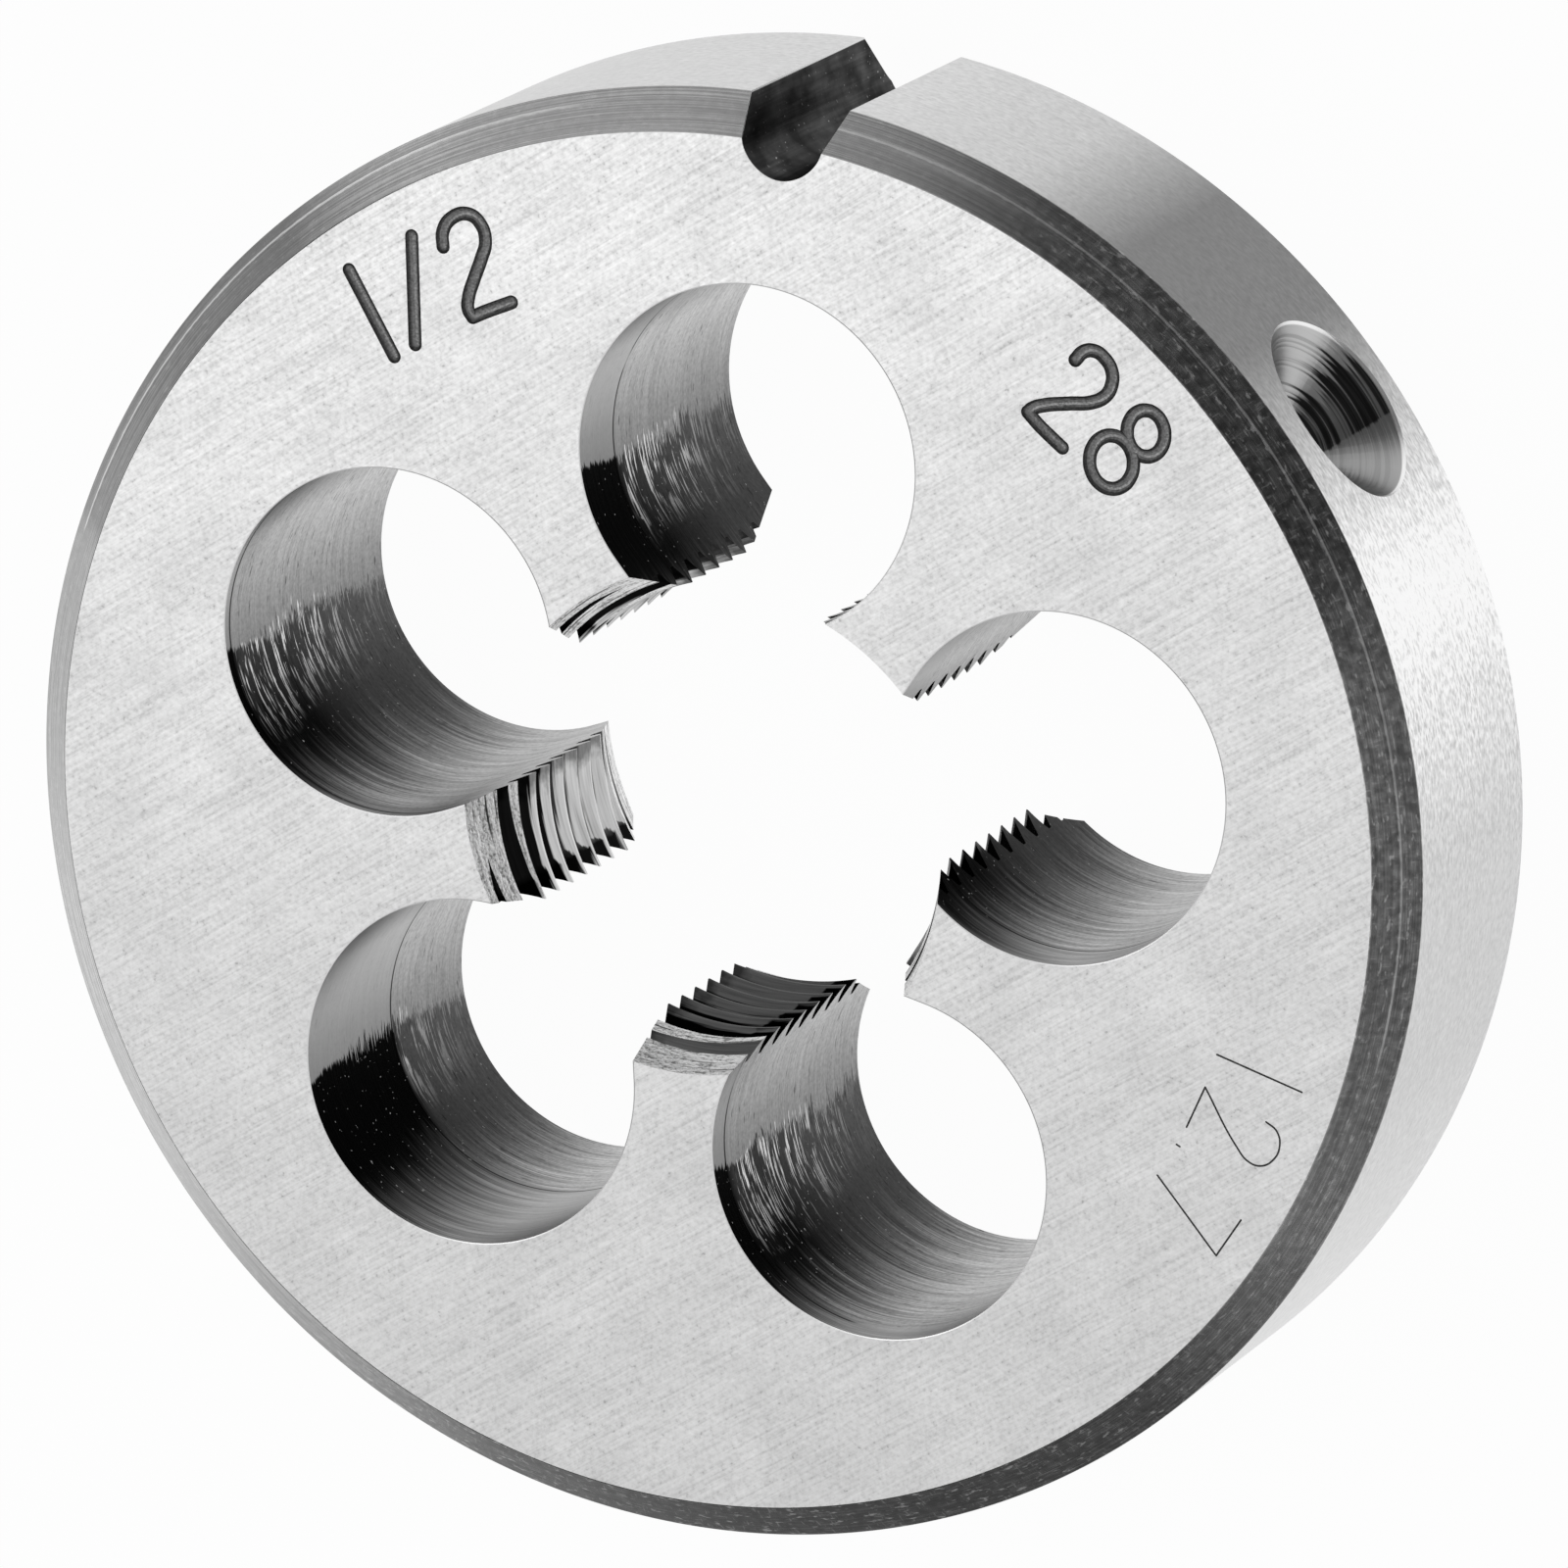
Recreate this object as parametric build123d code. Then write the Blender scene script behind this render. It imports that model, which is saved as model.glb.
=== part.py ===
from build123d import *
import math
import os

# A solid round threading die, lying on its plain face with the marked face up.
# Millimetres and degrees. Z is the thread axis, and the adjusting notch is on +Y.

# Blank
DIE_DIAMETER = 38.0
DIE_THICKNESS = 10.0
FRONT_CHAMFER = 1.0
BACK_CHAMFER = 1.35

# Thread, right-hand, with a cutting lead at both faces
THREAD_DIAMETER = 12.7
THREADS_PER_INCH = 28
FRONT_LEAD_CLEARANCE = 0.35
FRONT_LEAD_LENGTH = 2.1
BACK_LEAD_CLEARANCE = 0.5
BACK_LEAD_LENGTH = 2.8

# Chip holes, opening into the thread
CHIP_HOLE_COUNT = 5
CHIP_HOLE_DIAMETER = 9.15
CHIP_HOLE_BREAK_IN = 0.73
HEEL_FLANK_START = 1.35

# Notch across the rim, for the stock's adjusting screw
NOTCH_DEPTH = 1.95
NOTCH_BOTTOM_RADIUS = 1.1
NOTCH_ANGLE = 30.0

# Conical seats in the rim, for the stock's locking screws
SCREW_SEAT_DIAMETER = 5.5
SCREW_SEAT_ANGLE = 90.0
SCREW_SEAT_FROM_NOTCH = 47.0

# How far a cutter stands past the face that it starts from
OVERRUN = 1.0

MM_PER_INCH = 25.4
NOTCH_DIRECTION = 90.0

# Where the turned blank's seam lies: on plain rim, between a screw seat and the notch
BLANK_SEAM_DIRECTION = 55.0

die_radius = DIE_DIAMETER / 2
pitch = MM_PER_INCH / THREADS_PER_INCH
sharp_depth = pitch * math.sqrt(3) / 2
crest_radius = THREAD_DIAMETER / 2 - sharp_depth * 5 / 8
chip_hole_radius = CHIP_HOLE_DIAMETER / 2
chip_hole_circle_radius = crest_radius + chip_hole_radius - CHIP_HOLE_BREAK_IN


def turned(points):
    """Revolve a closed outline of (radius, height) points about the thread axis."""
    outline = make_face(Polyline(*points, close=True))
    return revolve(Plane.XZ * outline, Axis.Z)


def blank():
    """Disc with an edge chamfer at each face."""
    return turned([
        (0, 0),
        (die_radius - BACK_CHAMFER, 0),
        (die_radius, BACK_CHAMFER),
        (die_radius, DIE_THICKNESS - FRONT_CHAMFER),
        (die_radius - FRONT_CHAMFER, DIE_THICKNESS),
        (0, DIE_THICKNESS),
    ])


def thread_bore():
    """Bore at the thread's crests, opening to a lead cone at each face."""
    front_mouth = THREAD_DIAMETER / 2 + FRONT_LEAD_CLEARANCE
    back_mouth = THREAD_DIAMETER / 2 + BACK_LEAD_CLEARANCE
    return turned([
        (0, -OVERRUN),
        (back_mouth, -OVERRUN),
        (back_mouth, 0),
        (crest_radius, BACK_LEAD_LENGTH),
        (crest_radius, DIE_THICKNESS - FRONT_LEAD_LENGTH),
        (front_mouth, DIE_THICKNESS),
        (front_mouth, DIE_THICKNESS + OVERRUN),
        (0, DIE_THICKNESS + OVERRUN),
    ])


def through(outline):
    """Extrude a flat outline past both faces of the die."""
    return extrude(Pos(0, 0, -OVERRUN) * outline, DIE_THICKNESS + 2 * OVERRUN)


def chip_hole():
    """Chip hole on +X: a round hole, whose wall is straight at the heel of the next land."""
    heel_radius = crest_radius + HEEL_FLANK_START
    cosine = (
        heel_radius**2 + chip_hole_circle_radius**2 - chip_hole_radius**2
    ) / (2 * heel_radius * chip_hole_circle_radius)
    heel = Vector(heel_radius, 0).rotate(Axis.Z, math.degrees(math.acos(cosine)))
    centre = Vector(chip_hole_circle_radius, 0)
    along_wall = (heel - centre).rotate(Axis.Z, 90).normalized()
    tip = heel + along_wall * (2 * HEEL_FLANK_START)
    round_hole = Pos(chip_hole_circle_radius, 0) * Circle(chip_hole_radius)
    flank = make_face(Polyline(centre, heel, tip, (tip.X, 0), close=True))
    return through(round_hole + flank)


def notch():
    """Notch on +X with a round bottom and flared sides."""
    half = NOTCH_ANGLE / 2
    bottom_centre = Vector(die_radius - NOTCH_DEPTH + NOTCH_BOTTOM_RADIUS, 0)
    tangent = Vector(0, NOTCH_BOTTOM_RADIUS).rotate(Axis.Z, half)
    slope = Vector(1, 0).rotate(Axis.Z, half) * (NOTCH_DEPTH + OVERRUN)
    upper = bottom_centre + tangent
    mouth = upper + slope
    sides = Polyline(
        upper, mouth, (mouth.X, -mouth.Y), (upper.X, -upper.Y), close=True
    )
    bottom = Pos(bottom_centre.X, 0) * Circle(NOTCH_BOTTOM_RADIUS)
    return through(make_face(sides) + bottom)


def screw_seat():
    """Conical seat on +X, at the middle of the rim."""
    slope = math.tan(math.radians(SCREW_SEAT_ANGLE / 2))
    seat_radius = SCREW_SEAT_DIAMETER / 2
    height = seat_radius / slope + OVERRUN
    apex = die_radius + OVERRUN - height
    cone = Cone(
        0,
        height * slope,
        height,
        align=(Align.CENTER, Align.CENTER, Align.MIN),
    )
    return Pos(apex, 0, DIE_THICKNESS / 2) * Rot(0, 90, 0) * cone


def at(direction, shape):
    """Turn a shape made on +X to a direction about the thread axis."""
    return Rot(0, 0, direction) * shape


def die_body():
    """The finished die."""
    body = at(BLANK_SEAM_DIRECTION, blank()) - thread_bore()
    hole = chip_hole()
    for index in range(CHIP_HOLE_COUNT):
        body -= at(NOTCH_DIRECTION - index * 360 / CHIP_HOLE_COUNT, hole)
    body -= at(NOTCH_DIRECTION, notch())
    seat = screw_seat()
    for side in (-1, 1):
        body -= at(NOTCH_DIRECTION + side * SCREW_SEAT_FROM_NOTCH, seat)
    return body


def write(node, shape):
    """Write one node's solids to its file."""
    shape.label = node
    export_step(shape, f"parts/{node}.step")


os.makedirs("parts", exist_ok=True)
write("die_body", die_body())
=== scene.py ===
"""Round threading die: its finished mesh, its surface finishes and a plain studio.

The die lies on its plain face with the marked face up. Its thread axis is Z and its
adjusting notch is on +Y. Sizes are written in millimetres, and meshes are in metres.
"""

import logging
import math
from dataclasses import dataclass, field
from enum import Enum
from typing import Callable, Iterable, Sequence, Union

import bpy
from bpy.types import Material, MeshPolygon, Node, NodeSocket, Object
from mathutils import Matrix, Vector


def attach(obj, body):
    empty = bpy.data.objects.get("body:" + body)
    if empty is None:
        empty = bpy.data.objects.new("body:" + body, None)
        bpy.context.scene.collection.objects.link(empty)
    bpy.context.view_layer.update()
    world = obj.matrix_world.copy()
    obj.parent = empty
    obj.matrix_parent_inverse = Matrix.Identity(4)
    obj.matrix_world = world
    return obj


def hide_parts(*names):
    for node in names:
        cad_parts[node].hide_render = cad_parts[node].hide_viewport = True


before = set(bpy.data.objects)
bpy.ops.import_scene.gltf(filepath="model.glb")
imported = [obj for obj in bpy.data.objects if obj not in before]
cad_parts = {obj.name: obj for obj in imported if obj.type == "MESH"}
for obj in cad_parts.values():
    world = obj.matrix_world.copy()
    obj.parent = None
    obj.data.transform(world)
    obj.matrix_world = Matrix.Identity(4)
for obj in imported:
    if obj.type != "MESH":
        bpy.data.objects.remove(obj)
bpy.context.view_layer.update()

log = logging.getLogger("die")

# One millimetre in metres, and then the sizes that several parts share.
MM = 0.001
MARKED_FACE = 10.0
RIM_RADIUS = 19.0
CREST_RADIUS = 5.859
NOTCH_DIRECTION = 90.0
SEAT_FROM_NOTCH = 47.0
HOLE_COUNT = 5
HOLE_STEP = 360 / HOLE_COUNT
HOLE_CIRCLE_RADIUS = 9.704

# How far a cutter stands past the faces, how far off a chosen vertex may be, and how
# close doubled ones are.
OVERRUN = 1.0
SLACK = 0.01
DOUBLED = 0.0005

Value = Union[float, "Number"]
Point = tuple[float, float]
Curve = tuple[Point, ...]


class Side(Enum):
    """The two faces of the die, by the way that each looks along the thread axis."""

    MARKED = 1
    PLAIN = -1

    @property
    def height(self) -> float:
        """Height of the face in millimetres."""
        return MARKED_FACE if self is Side.MARKED else 0.0


# ---------------------------------------------------------------- bench


def active_only(piece: Object) -> None:
    """Select one object alone and make it the active one.

    Args:
        piece: The object to work on.
    """
    bpy.ops.object.select_all(action="DESELECT")
    piece.select_set(True)
    bpy.context.view_layer.objects.active = piece


def named(name: str) -> Object:
    """Name the primitive that was just added.

    Args:
        name: The new name.

    Returns:
        The primitive's object.
    """
    piece = bpy.context.view_layer.objects.active
    piece.name = name
    return piece


def settle(piece: Object) -> Object:
    """Put an object's place into its mesh, so that the object sits at the origin.

    Args:
        piece: The object to settle.

    Returns:
        The same object.
    """
    active_only(piece)
    bpy.ops.object.transform_apply(location=True, rotation=True, scale=True)
    return piece


def turned_copy(piece: Object, angle: float) -> Object:
    """Copy a settled piece and turn the copy about the thread axis.

    Args:
        piece: The piece to copy.
        angle: Turn in degrees, anticlockwise from above.

    Returns:
        The copy, with its own mesh.
    """
    active_only(piece)
    bpy.ops.object.duplicate(linked=False)
    copy = bpy.context.view_layer.objects.active
    copy.rotation_euler.z = math.radians(angle)
    return settle(copy)


def select_points(piece: Object, wanted: Callable[[Vector], bool]) -> None:
    """Open a piece in edit mode with the vertices at some places selected.

    Args:
        piece: The piece to open.
        wanted: Says whether a vertex at this place is selected.
    """
    active_only(piece)
    bpy.ops.object.mode_set(mode="EDIT")
    bpy.ops.mesh.select_mode(type="VERT")
    bpy.ops.mesh.select_all(action="DESELECT")
    bpy.ops.object.mode_set(mode="OBJECT")
    for vertex in piece.data.vertices:
        vertex.select = wanted(vertex.co)
    bpy.ops.object.mode_set(mode="EDIT")


def step_out(rise: float, growth: float, centre: Point = (0.0, 0.0)) -> None:
    """Extrude the selected ring upwards and scale it about a vertical line.

    Args:
        rise: Height of the step in millimetres.
        growth: Factor on the ring's width.
        centre: Where the line stands, in millimetres.
    """
    bpy.ops.mesh.extrude_region_move(
        TRANSFORM_OT_translate={"value": (0, 0, rise * MM)}
    )
    bpy.ops.transform.resize(
        value=(growth, growth, 1),
        center_override=(centre[0] * MM, centre[1] * MM, 0),
    )


def close_up(piece: Object) -> None:
    """Merge doubled vertices and point every face outwards.

    Args:
        piece: A closed piece.
    """
    active_only(piece)
    bpy.ops.object.mode_set(mode="EDIT")
    bpy.ops.mesh.select_all(action="SELECT")
    bpy.ops.mesh.remove_doubles(threshold=DOUBLED * MM)
    bpy.ops.mesh.normals_make_consistent(inside=False)
    bpy.ops.object.mode_set(mode="OBJECT")


def lathe(
    name: str, profile: list[Point], segments: int, centre: Point = (0.0, 0.0)
) -> Object:
    """Grow a closed turned solid from a disc, ring by ring.

    Args:
        name: Name of the solid.
        profile: (radius, height) of each ring in millimetres, from the bottom up.
        segments: Vertices in each ring.
        centre: Where the axis stands, in millimetres.

    Returns:
        The solid.
    """
    radius, height = profile[0]
    bpy.ops.mesh.primitive_circle_add(
        vertices=segments,
        radius=radius * MM,
        fill_type="NGON",
        location=(centre[0] * MM, centre[1] * MM, height * MM),
    )
    piece = settle(named(name))
    bpy.ops.object.mode_set(mode="EDIT")
    for next_radius, next_height in profile[1:]:
        step_out(next_height - height, next_radius / radius, centre)
        radius, height = next_radius, next_height
    bpy.ops.object.mode_set(mode="OBJECT")
    close_up(piece)
    return piece


def cut_out(body: Object, tool: Object) -> None:
    """Cut one solid out of another and use it up. Its faces keep their finish.

    Args:
        body: The solid that stays.
        tool: The solid that is used up.
    """
    active_only(body)
    modifier = body.modifiers.new("cut", "BOOLEAN")
    modifier.operation = "DIFFERENCE"
    modifier.solver = "MANIFOLD"
    modifier.material_mode = "TRANSFER"
    modifier.object = tool
    bpy.ops.object.modifier_apply(modifier=modifier.name)
    bpy.data.objects.remove(tool, do_unlink=True)


def cut_round(die: Object, tool: Object, directions: Iterable[float]) -> None:
    """Make the same cut in several directions about the thread axis.

    Args:
        die: The die.
        tool: Its cutter on +X, which is used up.
        directions: Where each cut goes, in degrees.
    """
    for direction in directions:
        cut_out(die, turned_copy(tool, direction))
    bpy.data.objects.remove(tool, do_unlink=True)


def dress(
    piece: Object,
    finish: "Finish",
    wanted: Callable[[MeshPolygon], bool] = lambda face: True,
) -> None:
    """Give faces of a piece a finish.

    Args:
        piece: The piece.
        finish: The finish.
        wanted: Says whether a face gets it.
    """
    material = finish.material()
    slots = piece.data.materials
    if slots.find(material.name) < 0:
        slots.append(material)
    index = slots.find(material.name)
    for face in piece.data.polygons:
        if wanted(face):
            face.material_index = index


# ---------------------------------------------------------------- finishes


@dataclass(frozen=True, eq=False)
class Number:
    """A number that a node graph works out for every point of a surface."""

    graph: "Graph"
    socket: NodeSocket

    def __add__(self, other: Value) -> "Number":
        """Add a number."""
        return self.graph.sum("ADD", self, other)

    def __sub__(self, other: Value) -> "Number":
        """Take a number away."""
        return self.graph.sum("SUBTRACT", self, other)

    def __rsub__(self, other: Value) -> "Number":
        """Take this number from another."""
        return self.graph.sum("SUBTRACT", other, self)

    def __mul__(self, other: Value) -> "Number":
        """Multiply by a number."""
        return self.graph.sum("MULTIPLY", self, other)

    def __truediv__(self, other: Value) -> "Number":
        """Divide by a number."""
        return self.graph.sum("DIVIDE", self, other)

    def __abs__(self) -> "Number":
        """Drop the sign."""
        return self.graph.sum("ABSOLUTE", self)

    def held(self) -> "Number":
        """Hold the result of the last sum between 0 and 1."""
        self.socket.node.use_clamp = True
        return self

    def wander(self, pattern: "Number", reach: float) -> "Number":
        """Move to and fro with a pattern around 0.5, by a share of a reach."""
        return self.graph.sum("MULTIPLY_ADD", pattern - 0.5, reach, self)

    def ramp(self, *stops: Point, unit: float = 1.0) -> "Number":
        """Run through a curve of straight lines, level past both its ends.

        Args:
            *stops: (number, result) pairs in rising order.
            unit: What the stops' numbers are counted in, such as MM for millimetres.

        Returns:
            The result.
        """
        first, last = stops[0][0], stops[-1][0]
        node = self.graph.add("ShaderNodeValToRGB")
        along = (self - first * unit) / ((last - first) * unit)
        self.graph.feed(node.inputs[0], along)
        band = node.color_ramp.elements
        while len(band) < len(stops):
            band.new(0.5)
        for element, (number, grey) in zip(band, stops):
            element.position = (number - first) / (last - first)
            element.color = (grey, grey, grey, 1)
        return Number(self.graph, node.outputs["Color"])


class Graph:
    """Node graph of one finish, written from the pattern to the surface."""

    def __init__(self, name: str) -> None:
        """Start an empty material.

        Args:
            name: Name of the material.
        """
        self.material = bpy.data.materials.new(name)
        self.material.use_nodes = True
        self.tree = self.material.node_tree
        self.tree.nodes.clear()
        self.place = self.add("ShaderNodeTexCoord").outputs["Object"]

    def add(self, kind: str, **settings: object) -> Node:
        """Add a node.

        Args:
            kind: Type of the node.
            **settings: Values of the node's own properties.

        Returns:
            The node.
        """
        node = self.tree.nodes.new(kind)
        for key, value in settings.items():
            setattr(node, key, value)
        return node

    def feed(self, socket: NodeSocket, value: Value | NodeSocket) -> None:
        """Set a socket, or link it where the value is worked out by a node.

        Args:
            socket: The socket.
            value: What goes into it.
        """
        source = value.socket if isinstance(value, Number) else value
        if isinstance(source, NodeSocket):
            self.tree.links.new(source, socket)
        else:
            socket.default_value = source

    def sum(self, operation: str, *values: Value) -> Number:
        """Work out one number.

        Args:
            operation: Name of the operation, such as ADD.
            *values: Its numbers, in order.

        Returns:
            The result.
        """
        node = self.add("ShaderNodeMath", operation=operation)
        for socket, value in zip(node.inputs, values):
            self.feed(socket, value)
        return Number(self, node.outputs[0])

    def most(self, first: Value, *others: Value) -> Number:
        """Find the largest of some numbers.

        Args:
            first: One of them.
            *others: The rest.

        Returns:
            The largest.
        """
        for value in others:
            first = self.sum("MAXIMUM", first, value)
        return first

    def mix(self, part: Value, low: Value, high: Value) -> Number:
        """Blend two numbers.

        Args:
            part: Share of the second one.
            low: The first number.
            high: The second number.

        Returns:
            The blend.
        """
        node = self.add("ShaderNodeMix", data_type="FLOAT")
        for index, value in ((0, part), (2, low), (3, high)):
            self.feed(node.inputs[index], value)
        return Number(self, node.outputs[0])

    def length(self, across: Number, up: Number) -> Number:
        """Length of a flat vector."""
        return self.sum("SQRT", across * across + up * up)

    def degrees(self, up: Number, across: Number) -> Number:
        """Direction of a flat vector, in degrees."""
        return self.sum("ARCTAN2", up, across) * (180 / math.pi)

    def axes(self) -> tuple[Number, ...]:
        """Read where the point is on the piece.

        Returns:
            Its X, Y and Z.
        """
        node = self.add("ShaderNodeSeparateXYZ")
        self.feed(node.inputs[0], self.place)
        return tuple(Number(self, socket) for socket in node.outputs)

    def vector(self, *sides: Value) -> NodeSocket:
        """Put three numbers together.

        Args:
            *sides: X, Y and Z.

        Returns:
            The vector.
        """
        node = self.add("ShaderNodeCombineXYZ")
        for socket, value in zip(node.inputs, sides):
            self.feed(socket, value)
        return node.outputs[0]

    def noise(
        self,
        size: tuple[float, float, float],
        angle: float = 0.0,
        detail: float = 2.0,
        where: NodeSocket | None = None,
        shift: float = 0.0,
    ) -> Number:
        """Noise whose grain has a size in millimetres along each axis.

        Args:
            size: Length of the grain along its own X, Y and Z.
            angle: Turn of the grain about Z, in degrees.
            detail: Finer octaves added.
            where: Point that it is read at, or the point on the piece.
            shift: Distance moved through the pattern, so that two patterns differ.

        Returns:
            A number around 0.5.
        """
        mapping = self.add("ShaderNodeMapping", vector_type="TEXTURE")
        self.feed(mapping.inputs["Vector"], self.place if where is None else where)
        mapping.inputs["Location"].default_value = (shift * MM,) * 3
        mapping.inputs["Rotation"].default_value = (0, 0, math.radians(angle))
        mapping.inputs["Scale"].default_value = tuple(side * MM for side in size)
        node = self.add("ShaderNodeTexNoise")
        self.feed(node.inputs["Vector"], mapping.outputs[0])
        node.inputs["Scale"].default_value = 1.0
        node.inputs["Detail"].default_value = detail
        return Number(self, node.outputs["Fac"])

    def steel(
        self, grey: Value, matt: Value, height: Value, depth: float, edge: float = 1.0
    ) -> Material:
        """Close the graph with a bare steel surface.

        Args:
            grey: Brightness of the metal.
            matt: How rough it is.
            height: Relief of the surface, from 0 to 1.
            depth: Depth of the relief in millimetres.
            edge: Strength of the gloss at a low angle.

        Returns:
            The material.
        """
        shader = self.add("ShaderNodeBsdfPrincipled")
        shader.inputs["Metallic"].default_value = 1.0
        shader.inputs["Specular Tint"].default_value = (edge, edge, edge, 1)
        colour = self.add("ShaderNodeCombineColor")
        for socket in colour.inputs:
            self.feed(socket, grey)
        self.feed(shader.inputs["Base Color"], colour.outputs[0])
        self.feed(shader.inputs["Roughness"], matt)
        bump = self.add("ShaderNodeBump")
        bump.inputs["Distance"].default_value = depth * MM
        self.feed(bump.inputs["Height"], height)
        self.feed(shader.inputs["Normal"], bump.outputs[0])
        self.close("ShaderNodeOutputMaterial", shader)
        return self.material

    def close(self, kind: str, shader: Node) -> None:
        """Lead a shader to the graph's output.

        Args:
            kind: Type of the output node.
            shader: The shader.
        """
        self.feed(self.add(kind).inputs["Surface"], shader.outputs[0])


class Finish:
    """A surface finish. Every face that has it shares one material."""

    name = "finish"

    def material(self) -> Material:
        """The finish's material, made when it is first asked for."""
        return bpy.data.materials.get(self.name) or self.build(Graph(self.name))

    def build(self, graph: Graph) -> Material:
        """Write the node graph."""
        raise NotImplementedError


@dataclass(frozen=True)
class SurfaceGround(Finish):
    """Flat faces: straight grinding lines one way, fine grain and small pits."""

    name = "surface_ground"
    grey: float = 0.80
    line_angle: float = 38.5

    def build(self, graph: Graph) -> Material:
        """Write the node graph.

        Args:
            graph: The graph, still empty.

        Returns:
            The material.
        """
        fine = graph.noise((1.6, 0.055, 1), self.line_angle, 1)
        long = graph.noise((9, 0.13, 1), self.line_angle, 1, shift=7)
        grain = graph.noise((0.11, 0.11, 0.11), detail=3, shift=3)
        cloud = graph.noise((2.5, 2.5, 2.5), detail=3, shift=5)
        relief = graph.mix(0.5, graph.mix(0.45, fine, long), grain)
        shade = relief.ramp((0.3, 0.76), (0.5, 1.0), (0.7, 1.16))
        pits = grain.ramp((0.25, 0.78), (0.32, 1.0))
        tone = cloud.ramp((0.3, 0.94), (0.7, 1.06))
        grey = (shade * pits * tone * self.grey).held()
        matt = relief.ramp((0.3, 0.46), (0.7, 0.36))
        return graph.steel(grey, matt, relief, 0.004)


@dataclass(frozen=True)
class TurnedChamfer(Finish):
    """Edge chamfers: turned rings crossed by scratches and knocks, with painted
    reflection and painted shade.

    The painted reflection and shade and the wear go by direction round the thread axis.
    Each highlight ring is a thin painted highlight: its radius less its height above or
    below mid-thickness, and the directions that it runs between.
    """

    name = "turned_chamfer"
    grey: float = 0.42
    radius: float = 18.5
    painted_shading: Curve = (
        (-180, 1.0), (-162, 1.25), (-138, 1.2), (-118, 0.62), (-102, 0.2), (-82, 0.13),
        (-62, 0.16), (-42, 0.32), (-22, 0.95), (0, 0.64), (22, 1.1), (36, 0.36),
        (46, 0.38), (60, 0.72), (67, 0.85), (72, 1.15), (100, 1.5), (122, 1.3),
        (136, 0.45), (150, 0.5), (166, 0.7), (168, 1.0), (180, 1.0),
    )
    wear: Curve = (
        (-125, 0.15), (-110, 0.5), (-10, 0.5), (8, 1.0), (62, 1.0), (72, 0.15),
    )
    highlight_rings: tuple[tuple[float, ...], ...] = ((14.16, -5, 86), (14.4, 110, 167))

    def build(self, graph: Graph) -> Material:
        """Write the node graph.

        Args:
            graph: The graph, still empty.

        Returns:
            The material.
        """
        x, y, z = graph.axes()
        turn = graph.degrees(y, x)
        around = graph.sum("ARCTAN2", y, x) * (self.radius * MM)
        across = graph.length(x, y) - abs(z - MARKED_FACE / 2 * MM)
        where = graph.vector(around, across, 0.0)
        rings = graph.noise((9, 0.07, 1), detail=2, where=where)
        across_it = graph.noise((0.07, 0.5, 1), detail=1, where=where, shift=4)
        along_it = graph.noise((0.9, 0.05, 1), detail=1, where=where, shift=8)
        knock = graph.noise((0.34, 0.2, 1), detail=3, where=where, shift=11)
        blotch = graph.noise((0.25, 0.25, 0.25), detail=3, shift=2)
        worn = turn.ramp(*self.wear)

        shade = rings.ramp((0.3, 0.75), (0.5, 1.0), (0.7, 1.35))
        spots = blotch.ramp((0.35, 0.7), (0.5, 1.0), (0.65, 1.35))
        spots = graph.mix(worn, 1.0, spots)
        # Painted reflection and painted shade by direction round the die.
        grey = shade * turn.ramp(*self.painted_shading) * spots * self.grey

        scratches = graph.most(
            across_it.ramp((0.60, 0.0), (0.72, 0.22)),
            along_it.ramp((0.60, 0.0), (0.70, 0.22)),
        )
        scratches = scratches * blotch.ramp((0.40, 0.0), (0.52, 1.0))
        knocks = knock.ramp((0.60, 0.0), (0.68, 0.5))
        grey = grey + graph.most(scratches, knocks) * worn

        # Thin painted highlight rings along the chamfer.
        wavy = across.wander(blotch, 0.08 * MM)
        for edge, first, last in self.highlight_rings:
            line = abs(wavy - edge * MM).ramp((0.03, 0.4), (0.07, 0.0), unit=MM)
            ends = [(first - 4, 0.0), (first, 1.0), (last, 1.0), (last + 1, 0.0)]
            grey = (grey + line * turn.ramp(*ends)).held()
        return graph.steel(grey, 0.26, graph.mix(0.5, rings, blotch), 0.004)


@dataclass(frozen=True)
class GroundRim(Finish):
    """Outside of the disc: cylindrically ground, with a fine even speckle.

    The painted reflection and shade, and the coarser speckle, go by direction round the
    thread axis.
    """

    name = "ground_rim"
    grey: float = 0.62
    painted_reflection: Curve = (
        (-180, 0.95), (-75, 0.95), (-42, 1.22), (-10, 0.95), (8, 1.02), (20, 1.38),
        (28, 1.85), (36, 1.2), (50, 0.30), (62, 0.27), (72, 0.92), (85, 1.05),
        (105, 1.0), (140, 0.95), (180, 0.95),
    )
    coarse: Curve = ((2, 0.25), (18, 1.0), (38, 0.8), (60, 0.25))

    def build(self, graph: Graph) -> Material:
        """Write the node graph.

        Args:
            graph: The graph, still empty.

        Returns:
            The material.
        """
        x, y, _ = graph.axes()
        turn = graph.degrees(y, x)
        grain = graph.noise((0.16, 0.16, 0.16), detail=3)
        lines = graph.noise((1.2, 1.2, 0.05), detail=1, shift=3)
        spark = graph.noise((0.22, 0.22, 0.10), detail=2, shift=11)
        relief = graph.mix(0.35, grain, lines)
        shade = relief.ramp((0.3, 0.84), (0.5, 1.0), (0.7, 1.12))
        sparks = spark.ramp((0.34, 0.72), (0.5, 1.0), (0.66, 1.25))
        sparks = graph.mix(turn.ramp(*self.coarse), 1.0, sparks)
        # The rim's brightness by direction is painted reflection and painted shade.
        grey = (shade * sparks * turn.ramp(*self.painted_reflection) * self.grey).held()
        return graph.steel(grey, 0.30, relief, 0.004)


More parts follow.
